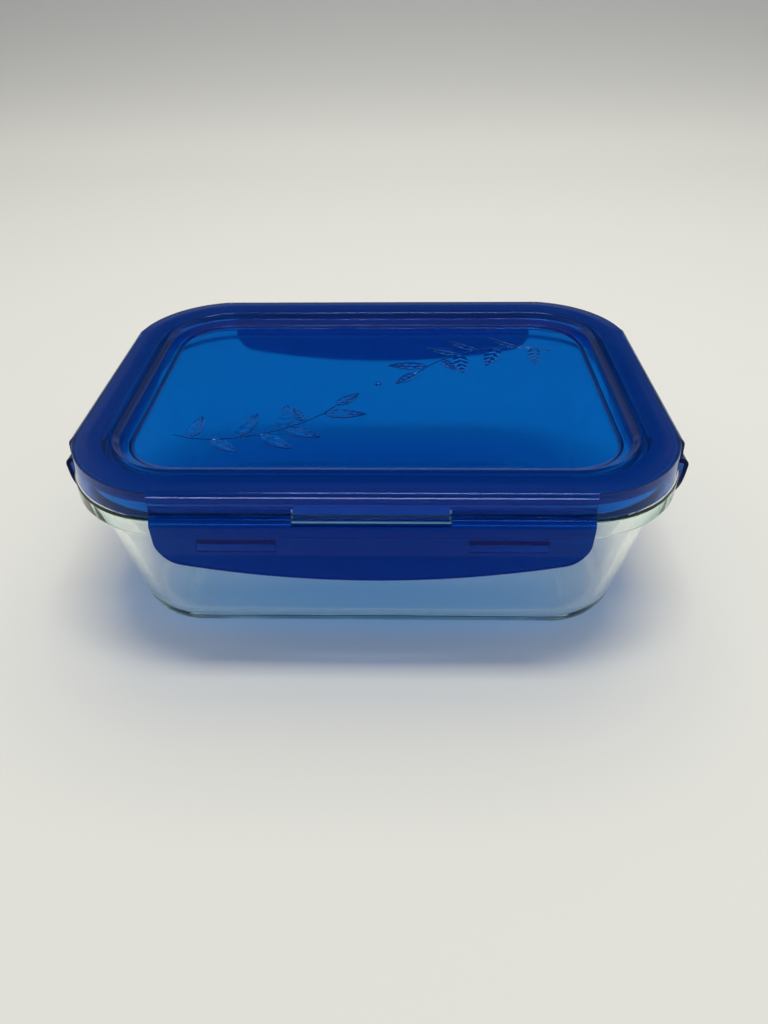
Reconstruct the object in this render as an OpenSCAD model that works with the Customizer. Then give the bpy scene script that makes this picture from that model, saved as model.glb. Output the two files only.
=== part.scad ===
// Rectangular food container: a tempered glass dish with a moulded snap-on lid.
// The lid carries a silicone seal in its rim groove and four lock flaps on living hinges.
// Every flap has two catches that hook under the flange of the dish.
// Origin: middle of the underside. X runs along the long sides, Z is up, the front faces -Y.

/* [Dish] */
// Length of the dish over its flange, mm
dish_w = 203; // [180:1:240]
// Width of the dish over its flange, mm
dish_d = 150; // [136:1:180]
// Height of the dish to the top of its rim, mm
dish_h = 67.5; // [55:0.5:85]
// Corner radius of the flange in plan, mm
corner_r = 39; // [35:0.5:46]
// Wall thickness, mm
wall_t = 4.2; // [3:0.1:5]
// Floor thickness, mm
floor_t = 5; // [3.5:0.1:7]
// Slope of the walls from upright, degrees
draft = 11.5; // [6:0.5:13]
// Outer radius between wall and underside, mm
heel_r = 12.5; // [8:0.5:14]
// Inner radius between wall and floor, mm
floor_r = 9; // [5:0.5:12]
// Width of the ring that the dish stands on, mm
foot_w = 4; // [2:0.5:6]
// Hollow of the underside inside that ring, mm
foot_rise = 0.6; // [0.3:0.1:1.2]

/* [Rim and flange] */
// Height of the flange, mm
flange_h = 7.2; // [4.5:0.1:8]
// Radius of the lower edge of the flange, mm
flange_edge_r = 1.6; // [0.8:0.1:2.2]
// Height of the rim above the flange, mm
rim_h = 5.6; // [4.5:0.1:8]
// Radius where the flange meets the wall below it, mm
under_r = 1.2; // [0.6:0.1:2]
// Distance of the rim inside the flange, mm
rim_inset = 4.8; // [4.6:0.1:6]
// Distance of the wall inside the flange, mm
wall_inset = 4.4; // [4:0.1:6]
// Outward lean of the rim's inner face, mm
rim_lean = 0.3; // [0:0.1:0.6]

/* [Lid] */
// Thickness of the lid's top plate over the seal, mm
plate_t = 1.9; // [1.4:0.1:2.6]
// Thickness of the sunk panel, mm
panel_t = 1.8; // [1.2:0.1:2.4]
// Depth of the sunk panel below the frame, mm
panel_drop = 5; // [4:0.1:5.6]
// Width of the raised frame from the outer edge to its inner shoulder, mm
frame_w = 12.6; // [11.5:0.1:14]
// Width of the frame's crown towards its outer edge, mm
crown_w = 5; // [3:0.5:6]
// Radius of the crown where it turns down to the outer edge, mm
crown_r = 20; // [8:1:30]
// Fall of the crown to the outer edge, mm
crown_fall = 0.5; // [0.2:0.1:0.6]
// Radius of the frame's inner shoulder, mm
shoulder_r = 1.8; // [0.8:0.1:2.4]
// Height of the slope on the inner side of the frame, mm
slope_h = 2.6; // [1.8:0.1:3]
// Width of that slope in plan, mm
slope_w = 2.2; // [1:0.1:3]
// Width of the ledge between the slope and the panel, mm
ledge_w = 4.1; // [2.5:0.1:6]
// Fall of the ledge towards the panel, mm
ledge_fall = 1; // [0.4:0.1:1.2]
// Thickness of the outer skirt, mm
skirt_t = 1.4; // [1:0.1:1.8]
// Outward lean of the skirt over its height, mm
skirt_lean = 0.7; // [0:0.1:0.8]
// Distance that the straight edges over the flaps stand out from the skirt, mm
rail_out = 0.8; // [0:0.1:1]
// Edge radius along the flaps, mm
edge_r = 2.5; // [1:0.1:3]
// Gap between rim and skirt, mm
skirt_gap = 2.1; // [1.5:0.1:2.2]
// Gap between rim and plug wall, mm
plug_gap = 2.4; // [1:0.1:3]
// Thickness of the plug wall, mm
plug_t = 2.8; // [2:0.1:3.2]
// Reach of the plug wall below the rim, mm
plug_h = 5.5; // [4:0.5:8]
// Diameter of the moulding gate's nub, mm
gate_d = 2.4; // [1.5:0.1:4]
// Distance of the gate's nub behind the middle, mm
gate_y = 3.8; // [0:0.1:8]
// Height of that nub, mm
gate_h = 0.5; // [0.2:0.1:0.8]

/* [Seal] */
// Thickness of the silicone seal, mm
seal_t = 2.3; // [1.6:0.1:3]
// Height of the two ribs under the seal, mm
seal_rib_h = 1.2; // [0.6:0.1:1.6]
// Thickness of these ribs, mm
seal_rib_t = 1.1; // [0.8:0.1:1.4]

/* [Flaps] */
// Length of the front and back flaps, mm
long_flap_w = 134; // [110:1:150]
// Length of the left and right flaps, mm
short_flap_w = 86; // [74:1:96]
// Width of the lid's tongue between the hinges of a long flap, mm
long_tongue_w = 47; // [30:1:60]
// Width of the lid's tongue between the hinges of a short flap, mm
short_tongue_w = 24; // [14:1:34]
// Wall thickness of a flap, mm
flap_t = 1.6; // [1.2:0.1:2.2]
// Height of a flap from its hinge axis to its lowest point, mm
flap_h = 24.5; // [20:0.5:30]
// Distance of the crease above the pull lip below the hinge axis, mm
crease_h = 15; // [14:0.5:17]
// Outward lean of the pull lip, mm
lip_lean = 1.2; // [0:0.1:2]
// Thinning of the pull lip towards its edge, mm
lip_taper = 0.3; // [0:0.1:0.5]
// Rise of a long flap's lower edge towards its ends, mm
long_bow = 7.2; // [3:0.1:9]
// Rise of a short flap's lower edge towards its ends, mm
short_bow = 3.4; // [1:0.1:5]
// Radius of a flap's lower corners, mm
flap_corner_r = 10.5; // [6:0.5:14]
// Distance that a flap bulges out between its crease and its shelf, mm
flap_bulge = 1; // [0:0.1:1.4]
// Radius of a flap's upper edge, mm
flap_top_r = 2.6; // [1:0.1:2.8]
// Radius of the crease, mm
crease_r = 2; // [0.5:0.5:6]
// Height of the shelf that joins a flap to its hinge, mm
shelf_t = 1.6; // [0.9:0.1:1.8]

/* [Hinges and catches] */
// Height of the thin web on each side of the hinge axis, mm
web_h = 1.3; // [1.2:0.1:2]
// Thickness of the web, mm
web_t = 0.4; // [0.3:0.05:0.4]
// Radius of the bead on the hinge axis, mm
bead_r = 0.4; // [0.35:0.05:0.5]
// Length of one catch on a long flap, mm
long_catch_w = 24.5; // [12:0.5:28]
// Distance of each catch on a long flap from the middle, mm
long_catch_x = 42.2; // [34:0.1:48]
// Length of one catch on a short flap, mm
short_catch_w = 16; // [8:0.5:18]
// Distance of each catch on a short flap from the middle, mm
short_catch_x = 25; // [18:0.5:30]
// Grip of a catch under the flange, mm
catch_grip = 2.4; // [1.8:0.1:3]
// Height of a catch's nose, mm
catch_nose = 0.9; // [0.5:0.1:1.4]
// Depth of a catch at its lower end, mm
catch_foot = 1.4; // [0.4:0.1:1.8]

/* [Clearances] */
// Running gap between flap and flange, mm
flap_gap = 0.3; // [0.3:0.05:0.6]
// Gap between flange and skirt, shelf or catch, mm
flange_gap = 0.4; // [0.3:0.05:0.6]
// Gap between rim and seal, mm
seal_gap = 0.3; // [0.2:0.05:0.5]
// Gap between the seal and the walls of its groove, mm
seal_side_gap = 0.2; // [0.1:0.05:0.4]
// Gap beside tongues and hinge webs, mm
side_gap = 0.5; // [0.3:0.1:0.8]
// Radial running clearance round the hinge bead, mm
hinge_clear = 0.05; // [0.03:0.01:0.08]

/* [Hidden] */
arc_steps = 7;
eps = 0.01;
// radii of broken, moulded and full edges
fine_r = 0.3;
soft_r = 0.6;
full_r = 0.9;
// slant of the step that drops the panel, and its width under the panel
step_slant = 0.4;
step_in = 1.2;
step_out = 1.8;
// half distances between the corner centres, from which every ring is measured outwards
half_x = dish_w / 2 - corner_r;
half_y = dish_d / 2 - corner_r;
// heights
flange_top = dish_h - rim_h;
flange_low = flange_top - flange_h;
plate_low = dish_h + seal_gap + seal_t;
lid_top = plate_low + plate_t;
panel_top = lid_top - panel_drop;
skirt_low = flange_top + flange_gap;
shelf_top = skirt_low + shelf_t;
axis_z = shelf_top + web_h;
rail_low = axis_z + web_h;
crease_z = axis_z - crease_h;
flap_low = axis_z - flap_h;
// distances from the corner centres
wall_out = corner_r - wall_inset;
wall_in = wall_out - wall_t / cos(draft);
rim_out = corner_r - rim_inset;
rim_in = wall_in + rim_lean;
rim_round = (rim_out - rim_in) * 0.48; // just under a full round
skirt_in = rim_out + skirt_gap;
skirt_out = skirt_in + skirt_t;
plug_out = rim_in - plug_gap;
plug_in = plug_out - plug_t;
shoulder = skirt_out - frame_w;
edge_top = lid_top - crown_fall;
flap_in = corner_r + flap_gap;
flap_out = flap_in + flap_t;
skirt_face = skirt_out + rail_out + skirt_lean * (edge_top - rail_low) / (edge_top - skirt_low);
axis_x = skirt_face - web_t / 2;

// ---- profiles ----

// Arc of radius r that rounds the corner b of the path a-b-c
function corner_arc(a, b, c, r) =
    let (u = (a - b) / norm(a - b), v = (c - b) / norm(c - b), half = acos(u * v) / 2,
         m = b + (u + v) / norm(u + v) * r / sin(half),
         p = b + u * r / tan(half) - m, q = b + v * r / tan(half) - m,
         start = atan2(p.y, p.x), turn = (atan2(q.y, q.x) - start + 540) % 360 - 180)
    [for (i = [0:arc_steps]) m + r * [cos(start + turn * i / arc_steps),
                                      sin(start + turn * i / arc_steps)]];

// Closed outline through [x, y, corner radius] points
function rounded(pts) =
    let (n = len(pts))
    [for (i = [0:n - 1])
        let (a = pts[(i + n - 1) % n], b = pts[i], c = pts[(i + 1) % n])
        each (b[2] > 0 ? corner_arc([a.x, a.y], [b.x, b.y], [c.x, c.y], b[2]) : [[b.x, b.y]])];

// Sweeps a profile round the box: x is the distance from the corner centres, y the height
module ring_sweep() {
    for (sx = [-1, 1], sy = [-1, 1])
        translate([sx * half_x, sy * half_y, 0])
            rotate([0, 0, sx > 0 ? (sy > 0 ? 0 : 270) : (sy > 0 ? 90 : 180)])
                rotate_extrude(angle = 90, $fn = 96) children();
    for (side = [0:3])
        on_side(side) along(side % 2 == 0 ? 2 * half_y : 2 * half_x) children();
}

// Local frame of one side: x outwards from the corner centres, y along the side
// (side 0 is right, 1 back, 2 left, 3 front)
module on_side(side)
    rotate([0, 0, 90 * side]) translate([side % 2 == 0 ? half_x : half_y, 0, 0]) children();

// Extrudes a profile of distance and height along a side
module along(length)
    rotate([90, 0, 0]) linear_extrude(length, center = true) children();

// Extrudes an outline of position along the side and height, outwards
module outwards(from, to)
    translate([from, 0, 0]) rotate([90, 0, 90]) linear_extrude(to - from) children();

// ---- dish ----

module dish_profile() {
    slope = tan(draft);
    heel = wall_out - flange_low * slope;
    foot = heel - heel_r / tan((90 + draft) / 2);
    polygon(rounded([
        [0, foot_rise, 0],
        [foot - foot_w - foot_rise, foot_rise, 0],
        [foot - foot_w, 0, 0],
        [heel, 0, heel_r],
        [wall_out, flange_low, under_r],
        [corner_r, flange_low, flange_edge_r],
        [corner_r, flange_top, full_r],
        [rim_out, flange_top, soft_r],
        [rim_out, dish_h, rim_round],
        [rim_in, dish_h, rim_round],
        [wall_in, flange_low, 0],
        [wall_in - (flange_low - floor_t) * slope, floor_t, floor_r],
        [0, floor_t, 0]]));
}

module glass_dish() {
    color([0.85, 0.93, 0.92, 0.35]) {
        ring_sweep() dish_profile();
        translate([-half_x, -half_y, foot_rise])
            cube([2 * half_x, 2 * half_y, floor_t - foot_rise]);
    }
}

// ---- lid ----

module lid_profile() {
    slope_foot = shoulder - slope_w;
    panel_edge = slope_foot - ledge_w;
    ledge_top = lid_top - slope_h - ledge_fall;
    panel_low = panel_top - panel_t;
    polygon(rounded([
        [0, panel_low, 0],
        [panel_edge + step_in, panel_low, soft_r],
        [panel_edge + step_out, ledge_top - panel_t, soft_r],
        [plug_in, lid_top - slope_h - panel_t, soft_r],
        [plug_in, dish_h - plug_h, soft_r],
        [plug_out, dish_h - plug_h, full_r],
        [plug_out, plate_low, 0],
        [skirt_in, plate_low, 0],
        [skirt_in + skirt_lean, skirt_low, 0],
        [skirt_out + skirt_lean, skirt_low, fine_r],
        [skirt_out, edge_top, fine_r],
        [skirt_out - crown_w, lid_top, crown_r],
        [shoulder, lid_top, shoulder_r],
        [slope_foot, lid_top - slope_h, full_r],
        [panel_edge + step_slant, ledge_top, fine_r],
        [panel_edge, panel_top, fine_r],
        [0, panel_top, 0]]));
}

// Straight outer edge over a flap, down to the end of the tongue
module rail_profile()
    polygon([[skirt_in, plate_low],
             [skirt_in + skirt_lean, skirt_low],
             [skirt_out + skirt_lean + rail_out, skirt_low],
             [skirt_out + rail_out, edge_top],
             [skirt_out - crown_w, lid_top],
             [skirt_out - crown_w, plate_low]]);

// What the rounded edge along a flap takes off
module edge_cut() {
    reach = edge_r + 2;
    difference() {
        translate([skirt_in - reach, rail_low - 1])
            square([skirt_t + rail_out + 2 * reach, lid_top - rail_low + 2]);
        polygon(rounded([
            [skirt_in - reach - 1, rail_low - 2, 0],
            [skirt_face + skirt_lean * 2 / (edge_top - skirt_low), rail_low - 2, 0],
            [skirt_out + rail_out, edge_top, edge_r],
            [skirt_out - crown_w, lid_top, 0],
            [skirt_out - crown_w, lid_top + 2, 0],
            [skirt_in - reach - 1, lid_top + 2, 0]]));
    }
}

module lid() {
    color([0.05, 0.2, 0.62, 0.85]) {
        difference() {
            union() {
                ring_sweep() lid_profile();
                translate([-half_x, -half_y, panel_top - panel_t])
                    cube([2 * half_x, 2 * half_y, panel_t]);
                for (side = [0:3]) on_side(side) along(flap_w(side)) rail_profile();
            }
            for (side = [0:3]) on_side(side) {
                along(flap_w(side)) edge_cut();
                // clears the skirt from the hinges, on both sides of the tongue
                for (s = [-1, 1])
                    translate([skirt_in - 1, s > 0 ? tongue_w(side) / 2
                                                   : -flap_w(side) / 2 - side_gap,
                               skirt_low - 1])
                        cube([skirt_t + skirt_lean + rail_out + 3,
                              (flap_w(side) - tongue_w(side)) / 2 + side_gap,
                              rail_low - skirt_low + 1]);
            }
        }
        translate([0, gate_y, panel_top - eps]) cylinder(h = gate_h + eps, d = gate_d, $fn = 48);
    }
}

module seal_profile() {
    inner = plug_out + seal_side_gap;
    outer = skirt_in - seal_side_gap;
    low = plate_low - seal_t;
    polygon(rounded([
        [inner, plate_low, 0],
        [inner, low - seal_rib_h, seal_rib_t * 0.4],
        [inner + seal_rib_t, low - seal_rib_h, seal_rib_t * 0.4],
        [inner + seal_rib_t, low, fine_r],
        [outer - seal_rib_t, low, fine_r],
        [outer - seal_rib_t, low - seal_rib_h, seal_rib_t * 0.4],
        [outer, low - seal_rib_h, seal_rib_t * 0.4],
        [outer, plate_low, 0]]));
}

module lid_seal() {
    color([0.12, 0.2, 0.42, 0.9]) ring_sweep() seal_profile();
}

// ---- flaps ----

function flap_w(side) = side % 2 == 0 ? short_flap_w : long_flap_w;
function tongue_w(side) = side % 2 == 0 ? short_tongue_w : long_tongue_w;
function flap_bow(side) = side % 2 == 0 ? short_bow : long_bow;
function catch_w(side) = side % 2 == 0 ? short_catch_w : long_catch_w;
function catch_x(side) = side % 2 == 0 ? short_catch_x : long_catch_x;

// Distance of a flap's inner face above its crease
function flap_face(z) = flap_in + flap_bulge * (z - crease_z) / (skirt_low - crease_z);

module flap_profile()
    polygon(rounded([
        [axis_x - web_t / 2, skirt_low, 0],
        [flap_in + flap_bulge, skirt_low, max(flap_top_r - flap_t, fine_r)],
        [flap_in, crease_z, crease_r],
        [flap_in + lip_lean, flap_low - 1, 0],
        [flap_out + lip_lean - lip_taper, flap_low - 1, 0],
        [flap_out, crease_z, crease_r],
        [flap_out + flap_bulge, shelf_top, flap_top_r],
        [axis_x + web_t / 2, shelf_top, fine_r],
        [axis_x + web_t / 2, axis_z, 0],
        [axis_x - web_t / 2, axis_z, 0]]));

// Face of a flap: upright ends, rounded lower corners and a bowed lower edge
module flap_outline(width, bow) {
    bow_r = (width * width / 4 + bow * bow) / (2 * bow);
    middle = flap_low + bow_r;
    corner_x = width / 2 - flap_corner_r;
    corner_z = middle - sqrt(pow(bow_r - flap_corner_r, 2) - corner_x * corner_x);
    meet_x = corner_x * bow_r / (bow_r - flap_corner_r);
    top = axis_z + 1;
    intersection() {
        translate([0, middle]) circle(bow_r, $fn = 720);
        union() {
            translate([-meet_x, flap_low - 1]) square([2 * meet_x, top - flap_low + 1]);
            translate([-width / 2, corner_z]) square([width, top - corner_z]);
            for (s = [-1, 1])
                translate([s * corner_x, corner_z]) circle(flap_corner_r, $fn = 96);
        }
    }
}

module flap(side) {
    width = flap_w(side);
    notch = tongue_w(side) + 2 * side_gap;
    color([0.02, 0.12, 0.45, 0.9])
        on_side(side)
            difference() {
                intersection() {
                    along(width) flap_profile();
                    outwards(axis_x - 2, flap_out + lip_lean + flap_bulge)
                        flap_outline(width, flap_bow(side));
                }
                // notch that leaves the lid's tongue free
                translate([axis_x - 2, -notch / 2, skirt_low - flange_gap / 2])
                    cube([flap_out + flap_bulge - axis_x + 4, notch, axis_z]);
                // seat of the hinge bead
                translate([axis_x, 0, axis_z]) rotate([90, 0, 0])
                    cylinder(h = width + 2, r = bead_r + hinge_clear, center = true, $fn = 48);
            }
}

// Pair of hooks that grip under the flange
module catches(side) {
    top = flange_low - flange_gap;
    low = crease_z + soft_r;
    color([0.25, 0.08, 0.4, 0.9])
        on_side(side)
            for (s = [-1, 1])
                translate([0, s * catch_x(side), 0])
                    along(catch_w(side))
                        polygon(rounded([
                            [flap_face(low), low, 0],
                            [flap_face(top), top, 0],
                            [corner_r - catch_grip, top, fine_r],
                            [corner_r - catch_grip, top - catch_nose, fine_r],
                            [flap_in - catch_foot, low, fine_r]]));
}

// Two thin webs with a bead on the hinge axis, one on each side of the tongue
module hinge_webs(side) {
    long = (flap_w(side) - tongue_w(side)) / 2 - side_gap;
    color([0.1, 0.45, 0.8, 0.85])
        on_side(side)
            for (s = [-1, 1])
                translate([axis_x, s * ((tongue_w(side) / 2 + side_gap) + long / 2), axis_z]) {
                    rotate([90, 0, 0]) cylinder(h = long, r = bead_r, center = true, $fn = 48);
                    translate([-web_t / 2, -long / 2, 0]) cube([web_t, long, web_h]);
                }
}

module right_flap() flap(0);
module back_flap() flap(1);
module left_flap() flap(2);
module front_flap() flap(3);
module right_catches() catches(0);
module back_catches() catches(1);
module left_catches() catches(2);
module front_catches() catches(3);
module right_hinge_webs() hinge_webs(0);
module back_hinge_webs() hinge_webs(1);
module left_hinge_webs() hinge_webs(2);
module front_hinge_webs() hinge_webs(3);

glass_dish();
lid();
lid_seal();
front_flap();
back_flap();
left_flap();
right_flap();
front_catches();
back_catches();
left_catches();
right_catches();
front_hinge_webs();
back_hinge_webs();
left_hinge_webs();
right_hinge_webs();
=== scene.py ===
import math

import bmesh
import bpy
from mathutils import Matrix, Vector


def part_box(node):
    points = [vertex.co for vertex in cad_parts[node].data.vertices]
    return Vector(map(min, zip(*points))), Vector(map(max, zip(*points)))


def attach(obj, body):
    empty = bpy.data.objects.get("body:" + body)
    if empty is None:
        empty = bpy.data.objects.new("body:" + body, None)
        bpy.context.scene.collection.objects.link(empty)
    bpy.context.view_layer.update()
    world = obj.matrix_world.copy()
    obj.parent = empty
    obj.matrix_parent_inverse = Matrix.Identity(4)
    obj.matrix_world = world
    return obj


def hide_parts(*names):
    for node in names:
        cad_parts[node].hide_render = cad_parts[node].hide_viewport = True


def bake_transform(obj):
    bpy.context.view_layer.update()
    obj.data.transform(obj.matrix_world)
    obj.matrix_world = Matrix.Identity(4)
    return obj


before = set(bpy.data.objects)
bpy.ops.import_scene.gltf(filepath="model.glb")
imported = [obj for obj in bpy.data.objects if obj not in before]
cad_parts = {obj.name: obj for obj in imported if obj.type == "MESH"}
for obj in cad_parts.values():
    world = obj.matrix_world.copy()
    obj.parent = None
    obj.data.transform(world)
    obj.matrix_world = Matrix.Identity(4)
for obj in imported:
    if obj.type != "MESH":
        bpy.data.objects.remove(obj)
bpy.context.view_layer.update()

bl_info = {
    "name": "Glass food container with snap lid",
    "version": (1, 0, 0),
    "blender": (4, 5, 0),
    "location": "3D View > Sidebar > Container",
    "description": "Models the dish, lid, seal, lock flaps and hinge strips of a glass food container",
    "category": "Add Mesh",
}

MM = 0.001
SIDES = ("right", "back", "left", "front")  # each a quarter turn on from the last
CORNER_STEPS = 40  # spin steps round a quarter of the box
ROUND_STEPS = 8  # steps of a rounded corner in a profile
TINY = 1e-6  # two vertices closer than this, in metres, are one
CRISP, SOFT = 0.3 * MM, 0.6 * MM  # radii of sharp and of softer moulded edges
SPARE = 2 * MM  # how far a cutting tool stands out of what it cuts


def linear(code):
    """Turns an sRGB hex colour into linear red, green and blue."""
    parts = [int(code[i:i + 2], 16) / 255 for i in (1, 3, 5)]
    return [p / 12.92 if p <= 0.04045 else ((p + 0.055) / 1.055) ** 2.4 for p in parts]


def size(name, mm, description):
    """A length that a user may change, given in millimetres."""
    return bpy.props.FloatProperty(name=name, default=mm * MM, unit="LENGTH", precision=5,
                                   description=description)


def angle(name, degrees, description):
    """An angle that a user may change, given in degrees."""
    return bpy.props.FloatProperty(name=name, default=math.radians(degrees), unit="ROTATION",
                                   description=description)


def colour(name, code, description):
    """A colour that a user may change, given as sRGB hex."""
    return bpy.props.FloatVectorProperty(name=name, default=linear(code), subtype="COLOR",
                                         size=3, min=0, max=1, description=description)


def share(name, value, description):
    """A share from 0 to 1 that a user may change."""
    return bpy.props.FloatProperty(name=name, default=value, min=0, max=1, subtype="FACTOR",
                                   description=description)


# ---- sizes and colours ----

DISH_LOW, DISH_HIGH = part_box("glass_dish")
LID_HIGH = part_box("lid")[1]


class DishSizes(bpy.types.PropertyGroup):
    length: size("Length", (DISH_HIGH.x - DISH_LOW.x) / MM, "Length over the flange")
    width: size("Width", (DISH_HIGH.y - DISH_LOW.y) / MM, "Width over the flange")
    height: size("Height", DISH_HIGH.z / MM, "Height to the top of the rim")
    corner: size("Corner radius", 39, "Corner radius of the flange in plan")
    wall: size("Wall", 4.2, "Thickness of the wall")
    floor: size("Floor", 5, "Thickness of the floor")
    draft: angle("Draft", 11.5, "Slope of the walls from upright")
    heel: size("Heel radius", 12.5, "Outer radius between wall and underside")
    floor_round: size("Floor radius", 9, "Inner radius between wall and floor")
    foot: size("Foot ring", 4, "Width of the ring that the dish stands on")
    hollow: size("Hollow", 0.6, "Hollow of the underside inside the foot ring")
    flange_h: size("Flange height", 7.2, "Height of the flange")
    flange_round: size("Flange radius", 1.6, "Radius of the flange's lower edge")
    under_round: size("Neck radius", 1.2, "Radius where the flange meets the wall below it")
    rim_h: size("Rim height", 5.6, "Height of the rim above the flange")
    rim_inset: size("Rim inset", 4.8, "Distance of the rim inside the flange")
    wall_inset: size("Wall inset", 4.4, "Distance of the wall inside the flange")
    rim_lean: size("Rim lean", 0.3, "Outward lean of the rim's inner face")


class LidSizes(bpy.types.PropertyGroup):
    top: size("Top", LID_HIGH.z / MM, "Height of the frame's crown above the table")
    plate: size("Plate", 1.9, "Thickness of the frame's plate over the seal")
    panel: size("Panel", 1.8, "Thickness of the sunk panel")
    panel_drop: size("Panel drop", 5, "Depth of the panel below the crown")
    frame_w: size("Frame width", 12.6, "Width of the frame to its inner shoulder")
    crown_w: size("Crown width", 5, "Width of the crown towards its outer edge")
    crown_fall: size("Crown fall", 0.5, "Fall of the crown to its outer edge")
    slope_h: size("Slope height", 2.6, "Height of the frame's inner slope")
    slope_w: size("Slope width", 2.2, "Width of the inner slope in plan")
    ledge_w: size("Ledge width", 4.1, "Width of the ledge round the panel")
    ledge_fall: size("Ledge fall", 1, "Fall of the ledge towards the panel")
    skirt: size("Skirt", 1.4, "Thickness of the outer skirt")
    skirt_lean: size("Skirt lean", 0.7, "Outward lean of the skirt over its height")
    rail_out: size("Rail reach", 0.8, "Distance that the straight edges stand out from the skirt")
    edge_round: size("Edge radius", 2.5, "Radius of the edge along the flaps")
    skirt_gap: size("Skirt gap", 2.1, "Gap between the rim and the skirt")
    plug_gap: size("Plug gap", 2.4, "Gap between the rim and the plug wall")
    plug: size("Plug wall", 2.8, "Thickness of the plug wall")
    plug_h: size("Plug reach", 5.5, "Reach of the plug wall below the rim")
    gate_d: size("Gate nub", 2.4, "Diameter of the nub left by the moulding gate")
    gate_y: size("Gate place", 3.8, "Distance of the nub behind the middle")
    gate_h: size("Gate height", 0.5, "Height of that nub")
    relief: size("Relief height", 0.28, "Height of the raised lines on the panel")
    line: size("Twig", 0.7, "Width of the raised twigs on the panel")


class SealSizes(bpy.types.PropertyGroup):
    thickness: size("Thickness", 2.3, "Thickness of the silicone ring")
    rib_h: size("Rib height", 1.2, "Height of the ribs under the ring")
    rib_t: size("Rib thickness", 1.1, "Thickness of the ribs")
    rim_gap: size("Rim gap", 0.3, "Gap between the rim and the ring")
    side_gap: size("Side gap", 0.2, "Gap between the ring and its groove")


class FlapSizes(bpy.types.PropertyGroup):
    long_w: size("Long flap", 134, "Length of the front and back flaps")
    short_w: size("Short flap", 86, "Length of the left and right flaps")
    long_tongue: size("Long tongue", 47, "Width of the lid's tongue at a long flap")
    short_tongue: size("Short tongue", 24, "Width of the lid's tongue at a short flap")
    wall: size("Wall", 1.6, "Wall thickness of a flap")
    height: size("Height", 24.5, "Height from the hinge axis to the lowest point")
    crease: size("Crease", 15, "Distance of the crease below the hinge axis")
    lip_lean: size("Lip lean", 1.2, "Outward lean of the pull lip")
    lip_taper: size("Lip taper", 0.3, "Thinning of the pull lip towards its edge")
    long_bow: size("Long bow", 7.2, "Rise of a long flap's lower edge to its ends")
    short_bow: size("Short bow", 5.5, "Rise of a short flap's lower edge to its ends")
    long_corner: size("Long corner", 9, "Radius of a long flap's lower corners")
    short_corner: size("Short corner", 15, "Radius of a short flap's lower corners")
    bulge: size("Bulge", 1, "Distance that a flap bulges out between crease and shelf")
    top_round: size("Top radius", 2.6, "Radius of a flap's upper edge")
    crease_round: size("Crease radius", 2, "Radius of the crease")
    shelf: size("Shelf", 1.6, "Height of the shelf that joins a flap to its hinge")
    web_h: size("Web height", 1.3, "Height of the hinge strip on each side of its axis")
    web_t: size("Web thickness", 0.4, "Thickness of the hinge strip")
    long_catch_w: size("Long catch", 24.5, "Length of a catch on a long flap")
    long_catch_x: size("Long catch place", 42.2, "Distance of that catch from the middle")
    short_catch_w: size("Short catch", 16, "Length of a catch on a short flap")
    short_catch_x: size("Short catch place", 25, "Distance of that catch from the middle")
    grip: size("Grip", 2.4, "Grip of a catch under the flange")
    nose: size("Nose", 0.9, "Height of a catch's nose")
    catch_foot: size("Catch foot", 1.4, "Depth of a catch at its lower end")
    gap: size("Flap gap", 0.3, "Gap between a flap and the flange")
    flange_gap: size("Flange gap", 0.4, "Gap between the flange and shelf or catch")
    side_gap: size("Tongue gap", 0.5, "Gap beside the tongues")


class Finishes(bpy.types.PropertyGroup):
    plastic: colour("Plastic", "#c4e4f0", "Daylight after 2 mm of the blue plastic")
    lid_tint: colour("Lid tint", "#077adc", "Pigment of the lid's plastic")
    # the flaps' tint and sheen are darker than the lid's though both are one plastic: painted shade
    # for the upright flaps
    flap_shaded_tint: colour("Flap tint", "#034fad", "Pigment of the flaps' plastic")
    lid_sheen: colour("Lid sheen", "#8d9bd8", "Colour of straight reflections in the lid")
    flap_shaded_sheen: colour("Flap sheen", "#1f479c", "Colour of straight reflections in the flaps")
    milk: share("Milkiness", 0.05, "Share of the light that the plastic scatters")
    glass: colour("Glass", "#f6fcf9", "Daylight after 10 mm of the dish's glass")
    silicone: colour("Seal", "#b9c7d6", "Daylight that passes the skin of the silicone seal")
    satin: share("Frame roughness", 0.15, "Roughness of the lid's frame and the flaps")
    gloss: share("Panel roughness", 0.05, "Roughness of the polished panel")


class StageSettings(bpy.types.PropertyGroup):
    floor: colour("Floor", "#e6e5de", "Colour of the table near the container")
    # the backdrop's grey is painted shade, darkening the laminate towards the backdrop's top
    backdrop: colour("Backdrop", "#b0b0b1", "Colour of the backdrop at its top")
    lens: bpy.props.FloatProperty(name="Lens", default=27.04, min=1, unit="CAMERA",
                                  description="Focal length on a 36 mm sensor")
    lamp: bpy.props.FloatProperty(name="Lamp", default=5.6, min=0, unit="POWER",
                                  description="Power of the soft box over the table")
    wide: bpy.props.FloatProperty(name="Wide lamp", default=3.2, min=0, unit="POWER",
                                  description="Power of the wide soft box towards the back")
    card: bpy.props.FloatProperty(name="Card", default=15, min=0, unit="POWER",
                                  description="Power of the card that gloss reflects")
    sky: bpy.props.FloatProperty(name="Room light", default=0.48, min=0,
                                 description="Strength of the even light of the room")
    gloss_sky: bpy.props.FloatProperty(name="Room in gloss", default=0.01, min=0,
                                       description="Strength of the dark room above in gloss")
    horizon: bpy.props.FloatProperty(name="Horizon in gloss", default=0.24, min=0,
                                     description="Strength of the room near the table in gloss")
    ceiling: bpy.props.FloatProperty(name="Ceiling in gloss", default=0.24, min=0,
                                     description="Strength of the ceiling in gloss")
    side_glow: bpy.props.FloatProperty(name="Sides in gloss", default=0.7, min=0,
                                       description="Strength of the room's sides in gloss")


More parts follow.
